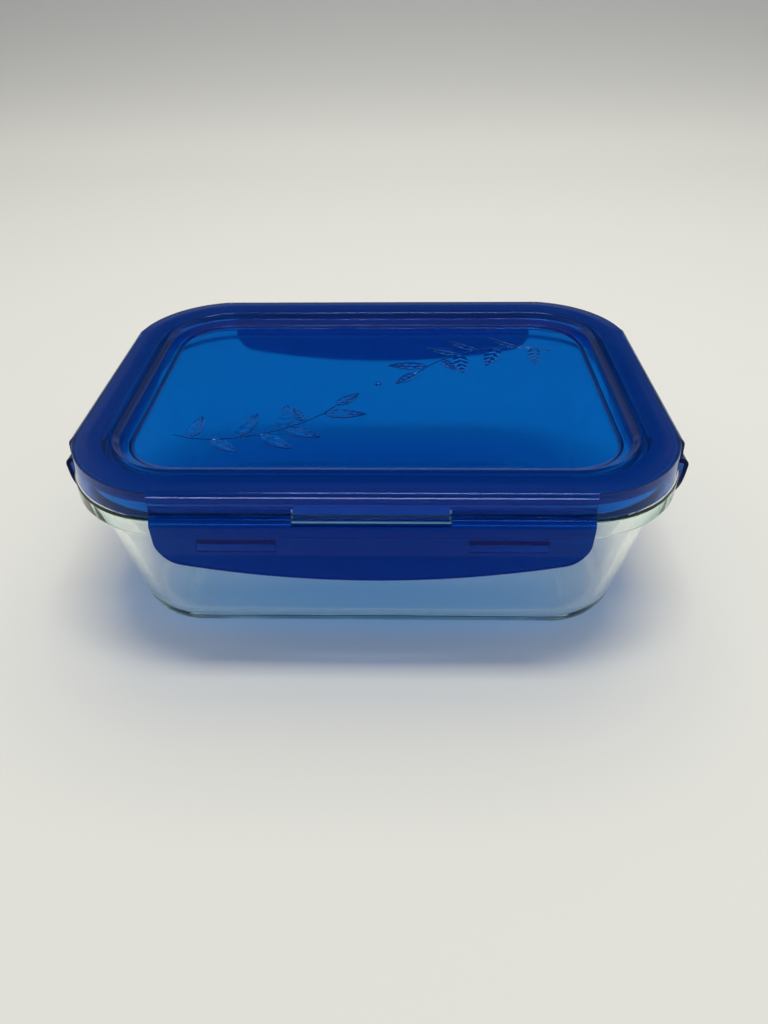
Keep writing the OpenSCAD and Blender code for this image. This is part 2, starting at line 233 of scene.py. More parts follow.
class Container(bpy.types.PropertyGroup):
    dish: bpy.props.PointerProperty(type=DishSizes, name="Dish")
    lid: bpy.props.PointerProperty(type=LidSizes, name="Lid")
    seal: bpy.props.PointerProperty(type=SealSizes, name="Seal")
    flap: bpy.props.PointerProperty(type=FlapSizes, name="Flaps")
    finish: bpy.props.PointerProperty(type=Finishes, name="Finishes")
    stage: bpy.props.PointerProperty(type=StageSettings, name="Stage")


class Places:
    """Heights, and distances outwards from the corner centres, that several pieces share."""

    def __init__(self, s):
        d, l, e, f = s.dish, s.lid, s.seal, s.flap
        self.half_x, self.half_y = d.length / 2 - d.corner, d.width / 2 - d.corner
        self.flange_top = d.height - d.rim_h
        self.flange_low = self.flange_top - d.flange_h
        self.plate_low = d.height + e.rim_gap + e.thickness
        self.panel_top = l.top - l.panel_drop
        self.skirt_low = self.flange_top + f.flange_gap
        self.shelf_top = self.skirt_low + f.shelf
        self.axis_z = self.shelf_top + f.web_h
        self.rail_low = self.axis_z + f.web_h
        self.crease_z = self.axis_z - f.crease
        self.flap_low = self.axis_z - f.height
        self.wall_out = d.corner - d.wall_inset
        self.wall_in = self.wall_out - d.wall / math.cos(d.draft)
        self.rim_out = d.corner - d.rim_inset
        self.rim_in = self.wall_in + d.rim_lean
        self.skirt_in = self.rim_out + l.skirt_gap
        self.skirt_out = self.skirt_in + l.skirt
        self.plug_out = self.rim_in - l.plug_gap
        self.plug_in = self.plug_out - l.plug
        self.shoulder = self.skirt_out - l.frame_w
        self.panel_edge = self.shoulder - l.slope_w - l.ledge_w
        self.ledge_top = l.top - l.slope_h - l.ledge_fall
        self.edge_top = l.top - l.crown_fall
        self.flap_in = d.corner + f.gap
        self.flap_out = self.flap_in + f.wall
        self.rail_out = self.skirt_out + l.rail_out
        self.lean = l.skirt_lean / (self.edge_top - self.skirt_low)
        self.skirt_face = self.rail_out + self.lean * (self.edge_top - self.rail_low)
        self.axis_out = self.skirt_face - f.web_t / 2

    def at(self, side, out, along, z):
        """A point of one side: out from the corner centres, along the side, and its height."""
        turn = math.radians(90 * SIDES.index(side))
        base = self.half_x if side in ("right", "left") else self.half_y
        x, y = base + out, along
        return Vector((x * math.cos(turn) - y * math.sin(turn),
                       x * math.sin(turn) + y * math.cos(turn), z))


def settings():
    """The sizes, finishes and stage settings of this scene."""
    return bpy.context.scene.container


def of_side(side, long_value, short_value):
    """The value for a long side, front or back, or the one for a short side."""
    return short_value if side in ("right", "left") else long_value


# ---- modelling ----

def pick(*pieces):
    """Selects only these objects, with the first one active."""
    bpy.ops.object.select_all(action="DESELECT")
    for piece in pieces:
        piece.select_set(True)
    bpy.context.view_layer.objects.active = pieces[0]


def add_piece(name, primitive, **how):
    """Adds a primitive at its size and place, with its object at the origin, in edit mode."""
    if bpy.context.mode != "OBJECT":
        bpy.ops.object.mode_set(mode="OBJECT")
    bpy.ops.object.select_all(action="DESELECT")
    primitive(**how)
    piece = bpy.context.object
    piece.name = piece.data.name = name
    bpy.ops.object.transform_apply(location=True, rotation=True, scale=True)
    bpy.ops.object.mode_set(mode="EDIT")
    bpy.ops.mesh.select_mode(type="VERT")
    return piece


def select_verts(test):
    """Selects the vertices whose place passes the test, with what is between them.

    Returns how many they are.
    """
    bpy.ops.mesh.select_all(action="DESELECT")
    mesh = bmesh.from_edit_mesh(bpy.context.object.data)
    for v in mesh.verts:
        v.select = test(v.co)
    mesh.select_flush(True)
    bmesh.update_edit_mesh(bpy.context.object.data)
    return sum(v.select for v in mesh.verts)


def draw_line(name, points, closed):
    """Draws a line through points and rounds its corners.

    points are (place, radius). A plane is merged to one vertex and extruded from point to
    point, and then each corner vertex is bevelled to its radius.
    """
    piece = add_piece(name, bpy.ops.mesh.primitive_plane_add, size=MM, location=points[0][0])
    bpy.ops.mesh.merge(type="CENTER")
    for (a, _), (b, _) in zip(points, points[1:]):
        bpy.ops.mesh.extrude_vertices_move(TRANSFORM_OT_translate={"value": b - a})
    if closed:
        ends = (points[0][0], points[-1][0])
        select_verts(lambda co: any((co - p).length < TINY for p in ends))
        bpy.ops.mesh.edge_face_add()
    n = len(points)
    for i, (p, radius) in enumerate(points):
        if radius:
            u = (points[i - 1][0] - p).normalized()
            v = (points[(i + 1) % n][0] - p).normalized()
            select_verts(lambda co: (co - p).length < TINY)
            bpy.ops.mesh.bevel(affect="VERTICES", offset_type="OFFSET", clamp_overlap=False,
                               offset=radius / math.tan(u.angle(v) / 2),
                               segments=ROUND_STEPS, profile=0.5)
    return piece


def sweep_round(places, name, profile, closed=False):
    """Sweeps a profile round the box: spun at each corner and extruded along each side.

    profile is (distance from the corner centres, height, radius). An open one is closed by
    flat faces above and below.
    """
    hx, hy = places.half_x, places.half_y
    piece = draw_line(name, [(Vector((hx + out, hy, z)), r) for out, z, r in profile], closed)
    bpy.ops.mesh.select_all(action="SELECT")
    for centre, step in (((hx, hy), (-2 * hx, 0)), ((-hx, hy), (0, -2 * hy)),
                         ((-hx, -hy), (2 * hx, 0)), ((hx, -hy), (0, 2 * hy))):
        bpy.ops.mesh.spin(steps=CORNER_STEPS, angle=math.pi / 2, center=(*centre, 0),
                          axis=(0, 0, -1))
        bpy.ops.mesh.extrude_region_move(TRANSFORM_OT_translate={"value": (*step, 0)})
    bpy.ops.mesh.select_all(action="SELECT")
    bpy.ops.mesh.remove_doubles(threshold=TINY)
    bpy.ops.mesh.fill_holes(sides=0)
    bpy.ops.mesh.select_all(action="SELECT")
    bpy.ops.mesh.normals_make_consistent(inside=False)
    bpy.ops.object.mode_set(mode="OBJECT")
    return piece


def slab(name, points, by):
    """A closed line through points of (place, radius), filled and extruded to a solid."""
    piece = draw_line(name, points, True)
    bpy.ops.mesh.select_all(action="SELECT")
    bpy.ops.mesh.edge_face_add()
    bpy.ops.mesh.extrude_region_move(TRANSFORM_OT_translate={"value": by})
    bpy.ops.mesh.select_all(action="SELECT")
    bpy.ops.mesh.normals_make_consistent(inside=False)
    bpy.ops.object.mode_set(mode="OBJECT")
    return piece


def prism(places, name, side, outline, width, middle=0):
    """A bar along one side, with the outline of (distance, height, radius) as its section."""
    points = [(places.at(side, out, middle - width / 2, z), r) for out, z, r in outline]
    return slab(name, points, places.at(side, 0, width, 0) - places.at(side, 0, 0, 0))


def use(piece, kind, **values):
    """Adds a modifier with its settings and applies it."""
    pick(piece)
    bpy.ops.object.modifier_add(type=kind)
    modifier = piece.modifiers[-1]
    for key, value in values.items():
        setattr(modifier, key, value)
    bpy.ops.object.modifier_apply(modifier=modifier.name)


def combine(piece, operation, *tools):
    """Unites a piece with other pieces, or cuts or intersects it with them, and removes them."""
    for tool in tools:
        use(piece, "BOOLEAN", operation=operation, solver="EXACT", object=tool)
        bpy.data.objects.remove(tool)
    if not piece.data.polygons:
        raise RuntimeError(f"{piece.name} is empty after its {operation}")
    return piece


def place_copy(piece, turn, spot=(0, 0), scale=1):
    """A copy of a piece with its own mesh, scaled and turned in plan, and moved."""
    pick(piece)
    bpy.ops.object.duplicate()
    copy = bpy.context.object
    copy.scale, copy.rotation_euler.z = (scale, scale, 1), turn
    copy.location = (*spot, 0)
    bpy.ops.object.transform_apply(location=True, rotation=True, scale=True)
    return copy


def join(pieces):
    """Joins pieces that don't touch to one object, with their normals outwards."""
    pick(*pieces)
    bpy.ops.object.join()
    bpy.ops.object.mode_set(mode="EDIT")
    bpy.ops.mesh.select_all(action="SELECT")
    bpy.ops.mesh.normals_make_consistent(inside=False)
    bpy.ops.object.mode_set(mode="OBJECT")
    return bpy.context.object


def finish(piece, material, body, slot, *nodes):
    """Shades a piece, gives it its material, and puts it on its body in place of its nodes.

    A piece with no body is left on no body.
    """
    pick(piece)
    bpy.ops.object.shade_smooth_by_angle(angle=math.radians(32))
    use(piece, "WEIGHTED_NORMAL", keep_sharp=True, weight=50)
    piece.data.materials.clear()
    piece.data.materials.append(material)
    if body:
        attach(piece, body)
    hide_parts(*nodes)


# ---- materials ----

def new_material(name):
    """An empty material and its node tree, or one made before, and no tree."""
    material = bpy.data.materials.get(name)
    if material:
        return material, None
    material = bpy.data.materials.new(name)
    material.use_nodes = True
    material.node_tree.nodes.clear()
    return material, material.node_tree


def add_node(tree, kind, attributes=None, inputs=None):
    """Adds a node with its settings; an input is a value or the socket that feeds it."""
    node = tree.nodes.new(kind)
    for key, value in (attributes or {}).items():
        setattr(node, key, value)
    for key, value in (inputs or {}).items():
        if isinstance(value, bpy.types.NodeSocket):
            tree.links.new(value, node.inputs[key])
        else:
            node.inputs[key].default_value = value
    return node


def see_through(tree, daylight, depth, ior, roughness, normal, tint=(1, 1, 1), milk=0,
                sheen=(1, 1, 1)):
    """Bends light at the faces and takes colour from it inside.

    daylight is white light after that depth, tint the pigment that colours light at a face,
    milk the share that is scattered there, and sheen the colour of straight reflections.
    Light on its way to a matt surface goes straight on, and takes less of the tint.
    """
    face_keeps, straight_tint, darkest = 0.97, 0.38, 0.002
    taken = [-math.log(max(c, darkest)) / depth for c in daylight]
    solid = add_node(tree, "ShaderNodeBsdfPrincipled", None, {
        "Base Color": (*tint, 1), "Transmission Weight": 1 - milk, "IOR": ior,
        "Roughness": roughness, "Specular Tint": (*sheen, 1), "Normal": normal})
    path = add_node(tree, "ShaderNodeLightPath")
    clear = add_node(tree, "ShaderNodeBsdfTransparent", None, {
        "Color": (*[face_keeps * (1 - milk) * c ** straight_tint for c in tint], 1)})
    bounce = add_node(tree, "ShaderNodeMixShader", None, {
        0: path.outputs["Is Diffuse Ray"], 1: solid.outputs[0], 2: clear.outputs[0]})
    mix = add_node(tree, "ShaderNodeMixShader", None, {
        0: path.outputs["Is Shadow Ray"], 1: bounce.outputs[0], 2: clear.outputs[0]})
    inside = add_node(tree, "ShaderNodeVolumeAbsorption", None, {
        "Color": (*[1 - t / max(taken) for t in taken], 1), "Density": max(taken)})
    add_node(tree, "ShaderNodeOutputMaterial", None, {
        "Surface": mix.outputs[0], "Volume": inside.outputs[0]})


def blue_plastic(name, tint, sheen, panel_top=None):
    """Polypropylene, injection moulded and tinted blue: clear and deep, soft satin outside.

    The lid's panel comes from a polished part of the mould, so it is glossier.
    """
    material, tree = new_material(name)
    if not tree:
        return material
    f = settings().finish
    place = add_node(tree, "ShaderNodeTexCoord")
    # soft haze and handling marks, 12 mm wide
    haze = add_node(tree, "ShaderNodeTexNoise", None, {
        "Vector": place.outputs["Object"], "Scale": 1 / (12 * MM), "Detail": 5,
        "Roughness": 0.65})
    satin = add_node(tree, "ShaderNodeMapRange", None, {
        "Value": haze.outputs["Fac"], "From Min": 0.3, "From Max": 0.7,
        "To Min": f.satin * 0.8, "To Max": f.satin * 1.2})
    roughness = satin.outputs[0]
    if panel_top:
        gloss = add_node(tree, "ShaderNodeMapRange", None, {
            "Value": haze.outputs["Fac"], "From Min": 0.3, "From Max": 0.7,
            "To Min": f.gloss * 0.6, "To Max": f.gloss * 1.5})
        split = add_node(tree, "ShaderNodeSeparateXYZ", None, {0: place.outputs["Object"]})
        frame_part = add_node(tree, "ShaderNodeMapRange", None, {
            "Value": split.outputs["Z"], "From Min": panel_top + 0.5 * MM,
            "From Max": panel_top + 1.2 * MM, "To Min": 0, "To Max": 1})
        both = add_node(tree, "ShaderNodeMix", {"data_type": "FLOAT"}, {
            "Factor": frame_part.outputs[0], "A": gloss.outputs[0], "B": satin.outputs[0]})
        roughness = both.outputs[0]
    # faint orange peel from the mould, 1.5 mm wide
    peel = add_node(tree, "ShaderNodeTexNoise", None, {
        "Vector": place.outputs["Object"], "Scale": 1 / (1.5 * MM), "Detail": 2})
    bump = add_node(tree, "ShaderNodeBump", None, {
        "Height": peel.outputs["Fac"], "Strength": 0.05, "Distance": 0.05 * MM})
    see_through(tree, f.plastic, 2 * MM, 1.49, roughness, bump.outputs[0], tint, f.milk, sheen)
    return material


def pressed_glass():
    """Tempered soda-lime glass, pressed in a mould: clear, a little green in the depth, with
    the gentle waves that the mould leaves."""
    material, tree = new_material("pressed_soda_lime_glass")
    if not tree:
        return material
    place = add_node(tree, "ShaderNodeTexCoord")
    waves = add_node(tree, "ShaderNodeTexNoise", None, {
        "Vector": place.outputs["Object"], "Scale": 1 / (28 * MM), "Detail": 1.5})
    bump = add_node(tree, "ShaderNodeBump", None, {
        "Height": waves.outputs["Fac"], "Strength": 0.25, "Distance": 1.2 * MM})
    see_through(tree, settings().finish.glass, 10 * MM, 1.52, 0.02, bump.outputs[0])
    return material


def silicone_rubber():
    """Silicone rubber, compression moulded: translucent, matt, with a fine grain."""
    material, tree = new_material("moulded_silicone_rubber")
    if not tree:
        return material
    place = add_node(tree, "ShaderNodeTexCoord")
    grain = add_node(tree, "ShaderNodeTexNoise", None, {
        "Vector": place.outputs["Object"], "Scale": 1 / (0.6 * MM), "Detail": 3})
    bump = add_node(tree, "ShaderNodeBump", None, {
        "Height": grain.outputs["Fac"], "Strength": 0.2, "Distance": 0.05 * MM})
    see_through(tree, linear("#dce4ea"), 2 * MM, 1.41, 0.4, bump.outputs[0],
                settings().finish.silicone, 0.25)
    return material


def matt_laminate():
    """High-pressure laminate, pressed matt: white and even, with painted shade that greys it up the
    backdrop.
    """
    material, tree = new_material("matt_white_laminate")
    if not tree:
        return material
    s = settings().stage
    place = add_node(tree, "ShaderNodeTexCoord")
    split = add_node(tree, "ShaderNodeSeparateXYZ", None, {0: place.outputs["Object"]})
    # painted shade: the colour greys from the floor's to the backdrop's up the curve, where less light
    # falls
    rise = add_node(tree, "ShaderNodeMapRange", {"interpolation_type": "SMOOTHSTEP"}, {
        "Value": split.outputs["Y"], "From Min": 0.66, "From Max": 0.97})
    shaded_tone = add_node(tree, "ShaderNodeMix", {"data_type": "RGBA"}, {
        "Factor": rise.outputs[0], 6: (*s.floor, 1), 7: (*s.backdrop, 1)})
    skin = add_node(tree, "ShaderNodeBsdfPrincipled", None, {
        "Base Color": shaded_tone.outputs[2], "Roughness": 0.6, "Specular IOR Level": 0})
    add_node(tree, "ShaderNodeOutputMaterial", None, {"Surface": skin.outputs[0]})
    return material


# ---- pieces ----

class CONTAINER_OT_dish(bpy.types.Operator):
    """Model the pressed glass dish with its flange, rim, heel and foot ring"""
    bl_idname = "container.dish"
    bl_label = "Glass dish"

    def execute(self, context):
        s = settings()
        d, p = s.dish, Places(s)
        slope = math.tan(d.draft)
        heel = p.wall_out - p.flange_low * slope
        foot = heel - d.heel / math.tan((math.pi / 2 + d.draft) / 2)
        foot_step, foot_round, flat = 2.4 * MM, 4 * MM, 2 * MM
        hollow_edge = foot - d.foot - foot_step
        floor_edge = p.wall_in - (p.flange_low - d.floor) * slope
        rim_round = (p.rim_out - p.rim_in) * 0.48  # nearly a half round
        dish = sweep_round(p, "dish_glass", [
            (hollow_edge - flat, d.hollow, 0),
            (hollow_edge, d.hollow, foot_round),
            (foot - d.foot, 0, foot_round),
            (heel, 0, d.heel),
            (p.wall_out, p.flange_low, d.under_round),
            (d.corner, p.flange_low, d.flange_round),
            (d.corner, p.flange_top, 0.9 * MM),
            (p.rim_out, p.flange_top, SOFT),
            (p.rim_out, d.height, rim_round),
            (p.rim_in, d.height, rim_round),
            (p.wall_in, p.flange_low, 0),
            (floor_edge, d.floor, d.floor_round),
            (floor_edge - d.floor_round, d.floor, 0)])
        finish(dish, pressed_glass(), "dish", "clear_glass", "glass_dish")
        return {"FINISHED"}


# One twig of the relief, in mm from the panel's middle, and its leaves: the point of the twig
# that each grows on, the way it points in degrees, and its length in mm.
TWIG = ((-69, -33), (-63, -35.2), (-56, -36), (-48, -35.2), (-40, -33), (-32, -29.2),
        (-25, -24.4), (-19, -18.6), (-15, -13))
LEAVES = ((1, 84, 14), (2, -38, 13), (3, 70, 17), (4, -36, 15), (5, 92, 16), (5, -22, 14),
          (6, 118, 10), (7, -2, 15), (8, 48, 12))


def model_leaf(low, base, height):
    """A leaf one unit long, from the origin along X, with raised veins, midrib and edge."""
    columns, rows, vein_every, flesh = 20, 8, 4, 0.25
    piece = add_piece("leaf", bpy.ops.mesh.primitive_grid_add, x_subdivisions=columns,
                      y_subdivisions=rows, size=1, location=(0.5, 0, base))
    for i in range(columns + 1):
        for j in range(rows + 1):
            t, v = i / columns, 2 * j / rows - 1
            # veins slant forwards from the midrib, and the leaf is widest near its root
            x = t + 0.16 * abs(v) * math.sin(math.pi * t)
            half = 0.66 * (x * (1 - x)) ** 0.85 * (1.25 - 0.7 * x) + 0.006
            raised = i % vein_every == 2 or abs(v) in (0, 1)
            here = Vector((t, v / 2, base))
            if select_verts(lambda co: (co - here).length < 10 * TINY) != 1:
                raise RuntimeError("a vertex of the leaf was not found")
            there = Vector((x, v * half, base + height * (1 if raised else flesh)))
            bpy.ops.transform.translate(value=there - here)
    bpy.ops.mesh.select_all(action="SELECT")
    bpy.ops.mesh.extrude_region_move(TRANSFORM_OT_translate={"value": (0, 0, low - base)})
    bpy.ops.transform.resize(value=(1, 1, 0), center_override=(0, 0, low))
    bpy.ops.object.mode_set(mode="OBJECT")
    return piece


def panel_relief(p, l):
    """The panel's raised design, two leafy twigs, and the nub of the moulding gate.

    Returns the twigs with the nub as one object and the leaves as another.
    """
    sunk = 0.3 * MM
    low, high = p.panel_top - sunk, p.panel_top + l.relief
    twig = [Vector((x * MM, y * MM, low)) for x, y in TWIG]
    stem = draw_line("twig", [(at, 0) for at in twig], False)
    bpy.ops.mesh.select_all(action="SELECT")
    bpy.ops.mesh.extrude_region_move(TRANSFORM_OT_translate={"value": (0, 0, high - low)})
    bpy.ops.object.mode_set(mode="OBJECT")
    use(stem, "SOLIDIFY", thickness=l.line, offset=0)
    use(stem, "BEVEL", width=l.line * 0.28, segments=2, limit_method="ANGLE",
        angle_limit=math.radians(60))
    leaf = model_leaf(low, p.panel_top, l.relief)
    leaves = []
    clear = 0.6 * l.line  # from the middle of the twig to the root of a leaf
    for at, degrees, length in LEAVES:
        turn = math.radians(degrees)
        root = twig[at] + Vector((math.cos(turn), math.sin(turn), 0)) * clear
        leaves.append(place_copy(leaf, turn, root.xy, length * MM))
        leaves.append(place_copy(leaves[-1], math.pi))
    bpy.data.objects.remove(leaf)
    top = p.panel_top + l.gate_h
    nub = add_piece("nub", bpy.ops.mesh.primitive_cylinder_add, vertices=40,
                    radius=l.gate_d / 2, depth=top - low, location=(0, l.gate_y, (top + low) / 2))
    select_verts(lambda co: co.z > top - 10 * TINY)
    bpy.ops.mesh.bevel(offset=0.16 * MM, segments=3)
    select_verts(lambda co: co.z > top - 10 * TINY)
    bpy.ops.mesh.inset(thickness=0.3 * MM, depth=-0.18 * MM)  # a dimple
    bpy.ops.object.mode_set(mode="OBJECT")
    return join([stem, place_copy(stem, math.pi), nub]), join(leaves)


class CONTAINER_OT_lid(bpy.types.Operator):
    """Model the blue lid: frame, sunk panel, plug wall, skirt, rails and tongues"""
    bl_idname = "container.lid"
    bl_label = "Lid"

    def execute(self, context):
        s = settings()
        l, f, p = s.lid, s.flap, Places(s)
        lid = self.shell(s, l, p)
        for side in SIDES:
            width = of_side(side, f.long_w, f.short_w)
            tongue = of_side(side, f.long_tongue, f.short_tongue)
            gap = (width - tongue) / 2 + f.side_gap
            combine(lid, "UNION", self.rail(l, p, side, width))
            combine(lid, "DIFFERENCE", self.edge(l, p, side, width),
                    *[self.opening(p, side, gap, up * (tongue / 2 + gap / 2))
                      for up in (-1, 1)])
        combine(lid, "UNION", *panel_relief(p, l))
        plastic = blue_plastic("clear_blue_polypropylene", s.finish.lid_tint,
                               s.finish.lid_sheen, p.panel_top)
        finish(lid, plastic, "lid_moulding", "blue_lid", "lid")
        return {"FINISHED"}

    def shell(self, s, l, p):
        """Panel, ledge, slope, crown, skirt, seal groove and plug wall, from one profile."""
        panel_in = p.panel_edge - 1.5 * MM
        panel_low = p.panel_top - l.panel
        plug_low = s.dish.height - l.plug_h
        return sweep_round(p, "lid_shell", [
            (panel_in, p.panel_top, 0),
            (p.panel_edge, p.panel_top, CRISP),
            (p.panel_edge + 0.4 * MM, p.ledge_top, CRISP),
            (p.shoulder - l.slope_w, l.top - l.slope_h, 0.9 * MM),
            (p.shoulder, l.top, 1.8 * MM),
            (p.skirt_out - l.crown_w, l.top, 20 * MM),
            (p.skirt_out, p.edge_top, CRISP),
            (p.skirt_out + l.skirt_lean, p.skirt_low, CRISP),
            (p.skirt_in + l.skirt_lean, p.skirt_low, 0.2 * MM),
            (p.skirt_in, p.plate_low, CRISP),
            (p.plug_out, p.plate_low, CRISP),
            (p.plug_out, plug_low, 0.9 * MM),
            (p.plug_in, plug_low, SOFT),
            (p.plug_in, l.top - l.slope_h - l.panel, SOFT),
            (p.panel_edge + 1.8 * MM, p.ledge_top - l.panel, SOFT),
            (p.panel_edge + 1.2 * MM, panel_low, SOFT),
            (panel_in, panel_low, 0)])

    def rail(self, l, p, side, width):
        """The straight bar over a flap, which stands out from the skirt."""
        inner, middle = p.skirt_in + l.skirt * 0.4, p.plate_low + l.plate / 2
        crown_in, below_top = p.skirt_out - l.crown_w, 0.03 * MM
        return prism(p, "rail", side, [
            (inner, middle, 0),
            (inner + l.skirt_lean, p.skirt_low, 0),
            (p.rail_out + l.skirt_lean, p.skirt_low, CRISP),
            (p.rail_out, p.edge_top, 0),
            (crown_in, l.top - below_top, 0),
            (crown_in, middle, 0)], width)

    def edge(self, l, p, side, width):
        """What is cut off outside a rail, so that its upper edge is round."""
        below, above = p.rail_low - MM, l.top + SPARE
        crown_in, outer, over_top = p.skirt_out - l.crown_w, p.rail_out + 3 * MM, 0.02 * MM
        return prism(p, "edge", side, [
            (p.rail_out + p.lean * (p.edge_top - below), below, 0),
            (p.rail_out, p.edge_top, l.edge_round),
            (crown_in, l.top + over_top, 0),
            (crown_in, above, 0),
            (outer, above, 0),
            (outer, below, 0)], width + 0.1 * MM)

    def opening(self, p, side, width, middle):
        """What is cut out of skirt and rail beside a tongue, where a flap hangs."""
        inner, outer, low = p.skirt_in - MM, p.skirt_out + 4 * MM, p.skirt_low - MM
        return prism(p, "opening", side, [
            (inner, low, 0), (outer, low, 0), (outer, p.rail_low, 0), (inner, p.rail_low, 0)],
            width, middle)


class CONTAINER_OT_seal(bpy.types.Operator):
    """Model the silicone seal in the lid's rim groove"""
    bl_idname = "container.seal"
    bl_label = "Seal"

    def execute(self, context):
        s = settings()
        e, p = s.seal, Places(s)
        inner, outer = p.plug_out + e.side_gap, p.skirt_in - e.side_gap
        top, low = p.plate_low - 0.05 * MM, p.plate_low - e.thickness
        tip, tip_round, top_round = low - e.rib_h, e.rib_t * 0.4, 0.2 * MM
        seal = sweep_round(p, "silicone_seal", [
            (inner, top, top_round),
            (inner, tip, tip_round),
            (inner + e.rib_t, tip, tip_round),
            (inner + e.rib_t, low, CRISP),
            (outer - e.rib_t, low, CRISP),
            (outer - e.rib_t, tip, tip_round),
            (outer, tip, tip_round),
            (outer, top, top_round)], closed=True)
        finish(seal, silicone_rubber(), "lid_moulding", "silicone", "lid_seal")
        return {"FINISHED"}


def shaded_flap_plastic():
    """The flaps and their hinge strips share the lid's plastic, given a deeper tint and a dimmer sheen
    as painted shade.
    """
    f = settings().finish
    return blue_plastic("clear_blue_polypropylene_shaded_flaps", f.flap_shaded_tint, f.flap_shaded_sheen)


class CONTAINER_OT_flaps(bpy.types.Operator):
    """Model the four lock flaps with their creased pull lips and catches"""
    bl_idname = "container.flaps"
    bl_label = "Lock flaps"

    def execute(self, context):
        s = settings()
        f, p = s.flap, Places(s)
        for side in SIDES:
            width = of_side(side, f.long_w, f.short_w)
            flap = self.section(f, p, side, width)
            combine(flap, "INTERSECT", self.face(f, p, side, width))
            combine(flap, "DIFFERENCE", self.notch(f, p, side))
            use(flap, "BEVEL", width=0.22 * MM, segments=2, limit_method="ANGLE",
                angle_limit=math.radians(40))
            for up in (-1, 1):
                combine(flap, "UNION", self.catch(s, p, side, up))
            finish(flap, shaded_flap_plastic(), side + "_lock", "blue_flap",
                   side + "_flap", side + "_catches")
        return {"FINISHED"}

    def section(self, f, p, side, width):
        """The flap's wall as a bar: shelf, round upper edge, bulge, crease and pull lip."""
        low = p.flap_low - MM  # below the bowed edge, which the face cuts
        return prism(p, side + "_flap_moulding", side, [
            (p.axis_out - f.web_t / 2, p.skirt_low, 0),
            (p.flap_in + f.bulge, p.skirt_low, max(f.top_round - f.wall, CRISP)),
            (p.flap_in, p.crease_z, f.crease_round),
            (p.flap_in + f.lip_lean, low, 0),
            (p.flap_out + f.lip_lean - f.lip_taper, low, 0),
            (p.flap_out, p.crease_z, f.crease_round),
            (p.flap_out + f.bulge, p.shelf_top, f.top_round),
            (p.axis_out + f.web_t / 2, p.shelf_top, 0)], width + 2 * MM)

    def face(self, f, p, side, width):
        """A slab with the flap's face: upright ends, rounded corners and a bowed lower edge."""
        end_steps, bow_steps = 14, 48
        bow = of_side(side, f.long_bow, f.short_bow)
        corner = of_side(side, f.long_corner, f.short_corner)
        bow_r = (width * width / 4 + bow * bow) / (2 * bow)
        middle = p.flap_low + bow_r
        corner_x = width / 2 - corner
        corner_z = middle - math.sqrt((bow_r - corner) ** 2 - corner_x ** 2)
        start = math.atan2(corner_z - middle, corner_x)
        turns = [start * i / end_steps for i in range(end_steps + 1)]
        right = [(corner_x + corner * math.cos(a), corner_z + corner * math.sin(a))
                 for a in turns]
        left = [(-x, z) for x, z in reversed(right)]
        turns = [start - (math.pi + 2 * start) * i / bow_steps for i in range(1, bow_steps)]
        lower = [(bow_r * math.cos(a), middle + bow_r * math.sin(a)) for a in turns]
        top = p.axis_z + MM
        outline = [(width / 2, top), *right, *lower, *left, (-width / 2, top)]
        inner, outer = p.axis_out - SPARE, p.flap_out + 2 * SPARE
        return slab("face", [(p.at(side, inner, x, z), 0) for x, z in outline],
                    p.at(side, outer, 0, 0) - p.at(side, inner, 0, 0))

    def notch(self, f, p, side):
        """What is cut out of a flap's shelf for the lid's tongue."""
        width = of_side(side, f.long_tongue, f.short_tongue) + 2 * f.side_gap
        inner, outer = p.axis_out - SPARE, p.flap_out + 2 * SPARE
        low, high = p.skirt_low - 0.2 * MM, p.axis_z + SPARE
        return prism(p, "notch", side, [
            (inner, low, 0), (outer, low, 0), (outer, high, 0), (inner, high, 0)], width)

    def catch(self, s, p, side, up):
        """A wedge on the flap's inside, whose nose grips under the flange."""
        f = s.flap
        top, low = p.flange_low - f.flange_gap, p.crease_z + 0.6 * MM
        grip = s.dish.corner - f.grip
        sunk = p.flap_in + 0.4 * MM  # inside the flap's wall
        slant = f.bulge / (p.skirt_low - p.crease_z)
        return prism(p, "catch", side, [
            (sunk + slant * (low - p.crease_z), low, 0),
            (sunk + slant * (top - p.crease_z), top, 0),
            (grip, top, CRISP),
            (grip, top - f.nose, CRISP),
            (p.flap_in - f.catch_foot, low, CRISP)],
            of_side(side, f.long_catch_w, f.short_catch_w),
            up * of_side(side, f.long_catch_x, f.short_catch_x))


class CONTAINER_OT_hinges(bpy.types.Operator):
    """Model the thin hinge strips between the lid and its flaps"""
    bl_idname = "container.hinges"
    bl_label = "Hinge strips"

    def execute(self, context):
        s = settings()
        f, p = s.flap, Places(s)
        for side in SIDES:
            width = of_side(side, f.long_w, f.short_w)
            tongue = of_side(side, f.long_tongue, f.short_tongue)
            run = (width - tongue) / 2 - f.side_gap
            strips = join([self.strip(f, p, side, run, up * (tongue / 2 + f.side_gap + run / 2))
                           for up in (-1, 1)])
            # rows of vertices on both sides of the axis
            for row in (-1, -0.5, 0.5, 1):
                bpy.ops.object.mode_set(mode="EDIT")
                bpy.ops.mesh.select_all(action="SELECT")
                bpy.ops.mesh.bisect(plane_co=(0, 0, p.axis_z + row * MM), plane_no=(0, 0, 1))
                bpy.ops.object.mode_set(mode="OBJECT")
            finish(strips, shaded_flap_plastic(), None, "blue_web", side + "_hinge_webs")
            p.at(side, p.axis_out, 0, p.rail_low)
            p.at(side, p.axis_out, 0, p.shelf_top)
            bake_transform(strips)
        return {"FINISHED"}

    def strip(self, f, p, side, run, middle):
        """One strip, from a flap's shelf up to the rail."""
        clear = 0.03 * MM
        low, high = p.shelf_top + clear, p.rail_low - clear
        inner, outer = p.axis_out - f.web_t / 2, p.axis_out + f.web_t / 2
        return prism(p, side + "_hinge_strip", side, [
            (inner, low, 0), (outer, low, 0), (outer, p.axis_z, 0),
            (outer, high, 0), (inner, high, 0), (inner, p.axis_z, 0)], run, middle)


